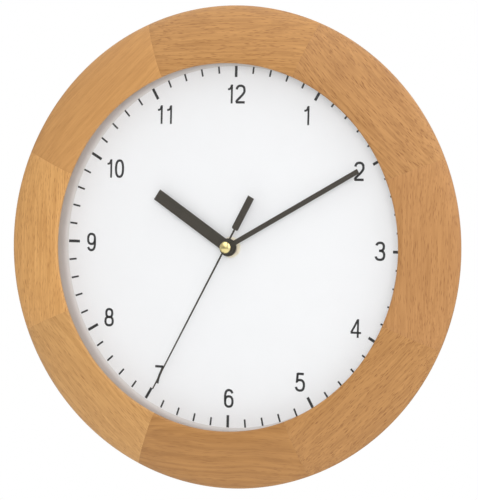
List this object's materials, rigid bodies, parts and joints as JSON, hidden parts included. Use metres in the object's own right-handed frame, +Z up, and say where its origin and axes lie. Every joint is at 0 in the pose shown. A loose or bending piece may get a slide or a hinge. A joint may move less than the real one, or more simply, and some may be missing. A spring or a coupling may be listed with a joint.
{
  "type": "radio-controlled wall clock",
  "caption": "Round wall clock with a mitred wooden ring frame, flat glass, white dial with plain numbers, bar hands and a two-motor quartz movement.",
  "frame": {"origin": "on the wall plane, at the axis of the screw that holds the clock by the keyhole plate's slot", "axes": "+Z up to 12 o'clock, +X to 3 o'clock, -Y out of the dial into the room, +Y into the wall"},
  "size_m": [0.3, 0.0402, 0.3],
  "materials": {
    "beech": "oiled beech with short dark flecks",
    "clear_glass": "polished",
    "white_ring": "matt",
    "dial_paint": "matt off-white print",
    "fibreboard": "raw hardboard",
    "zinc_steel": "zinc plated",
    "brass": "polished",
    "black_rubber": "matt",
    "hand_paint": "satin dark grey-brown",
    "gear_plastic": "natural acetal",
    "magnet": "sintered",
    "motor_iron": "stamped sheet",
    "copper_wire": "enamelled winding",
    "case_plastic": "fine texture",
    "button_plastic": "satin",
    "bridge_plastic": "satin",
    "board_laminate": "solder mask",
    "chip_plastic": "matt",
    "ferrite": "matt sintered",
    "cell_sleeve": "plain shrink sleeve",
    "contact_steel": "nickel plated"
  },
  "bodies": {
    "clock_body": {"frame_segment_1": "beech", "frame_segment_2": "beech", "frame_segment_3": "beech", "frame_segment_4": "beech", "frame_segment_5": "beech", "frame_segment_6": "beech", "frame_segment_7": "beech", "frame_segment_8": "beech", "hanger_plate": "zinc_steel", "hanger_screw_1": "zinc_steel", "hanger_screw_2": "zinc_steel", "glass": "clear_glass", "dial_surround": "white_ring", "dial_plate": "dial_paint", "backing_board": "fibreboard", "board_clip_1": "zinc_steel", "board_clip_2": "zinc_steel", "board_clip_3": "zinc_steel", "board_clip_4": "zinc_steel", "clip_screw_1": "zinc_steel", "clip_screw_2": "zinc_steel", "clip_screw_3": "zinc_steel", "clip_screw_4": "zinc_steel", "threaded_bush": "brass", "rubber_washer": "black_rubber", "brass_washer": "brass", "fixing_nut": "brass", "minute_motor_stator": "motor_iron", "minute_motor_coil": "copper_wire", "seconds_motor_stator": "motor_iron", "seconds_motor_coil": "copper_wire", "movement_case": "case_plastic", "movement_cover": "case_plastic", "train_bridge": "bridge_plastic", "circuit_board": "board_laminate", "receiver_chip": "chip_plastic", "quartz_crystal": "zinc_steel", "antenna_rod": "ferrite", "antenna_coil": "copper_wire", "battery_cell": "cell_sleeve", "positive_contact": "contact_steel", "negative_contact": "contact_steel"},
    "minute_work": {"minute_hand": "hand_paint", "minute_wheel": "gear_plastic"},
    "hour_work": {"hour_hand": "hand_paint", "hour_wheel": "gear_plastic"},
    "motion_work": {"motion_wheel": "gear_plastic"},
    "minute_train": {"minute_intermediate_wheel": "gear_plastic"},
    "minute_drive": {"minute_rotor": "magnet"},
    "seconds_work": {"second_hand": "hand_paint", "second_hand_cap": "brass", "seconds_wheel": "gear_plastic"},
    "seconds_train": {"seconds_intermediate_wheel": "gear_plastic"},
    "seconds_drive": {"seconds_rotor": "magnet"},
    "set_key": {"set_button": "button_plastic"},
    "receive_key": {"receive_button": "button_plastic"},
    "reset_key": {"reset_button": "button_plastic"}
  },
  "joints": [
    {"name": "minute_turn", "type": "hinge", "parent": "clock_body", "child": "minute_work", "pos_m": [0, -0.032, -0.1325], "axis": [0, 1, 0], "continuous": true},
    {"name": "hour_turn", "type": "hinge", "parent": "clock_body", "child": "hour_work", "pos_m": [0, -0.03, -0.1325], "axis": [0, 1, 0], "continuous": true},
    {"name": "motion_turn", "type": "hinge", "parent": "clock_body", "child": "motion_work", "pos_m": [0, -0.0152, -0.1229], "axis": [0, 1, 0], "continuous": true},
    {"name": "minute_intermediate_turn", "type": "hinge", "parent": "clock_body", "child": "minute_train", "pos_m": [-0.00849, -0.012, -0.1276], "axis": [0, 1, 0], "continuous": true},
    {"name": "minute_rotor_turn", "type": "hinge", "parent": "clock_body", "child": "minute_drive", "pos_m": [-0.01576, -0.011, -0.1318], "axis": [0, 1, 0], "continuous": true},
    {"name": "second_turn", "type": "hinge", "parent": "clock_body", "child": "seconds_work", "pos_m": [0, -0.034, -0.1325], "axis": [0, 1, 0], "continuous": true},
    {"name": "seconds_intermediate_turn", "type": "hinge", "parent": "clock_body", "child": "seconds_train", "pos_m": [0.00849, -0.011, -0.1276], "axis": [0, 1, 0], "continuous": true},
    {"name": "seconds_rotor_turn", "type": "hinge", "parent": "clock_body", "child": "seconds_drive", "pos_m": [0.01576, -0.011, -0.1318], "axis": [0, 1, 0], "continuous": true},
    {"name": "set_press", "type": "slide", "parent": "clock_body", "child": "set_key", "axis": [0, -1, 0], "range_m": [0, 0.001], "stiffness_N_per_m": 800},
    {"name": "receive_press", "type": "slide", "parent": "clock_body", "child": "receive_key", "axis": [0, -1, 0], "range_m": [0, 0.001], "stiffness_N_per_m": 800},
    {"name": "reset_press", "type": "slide", "parent": "clock_body", "child": "reset_key", "axis": [0, -1, 0], "range_m": [0, 0.001], "stiffness_N_per_m": 800}
  ],
  "couplings": [
    {"joint": "hour_turn", "follows": "minute_turn", "ratio": 0.083333},
    {"joint": "motion_turn", "follows": "minute_turn", "ratio": -0.33333},
    {"joint": "minute_intermediate_turn", "follows": "minute_turn", "ratio": -6},
    {"joint": "minute_rotor_turn", "follows": "minute_turn", "ratio": 30},
    {"joint": "seconds_intermediate_turn", "follows": "second_turn", "ratio": -6},
    {"joint": "seconds_rotor_turn", "follows": "second_turn", "ratio": 30}
  ]
}
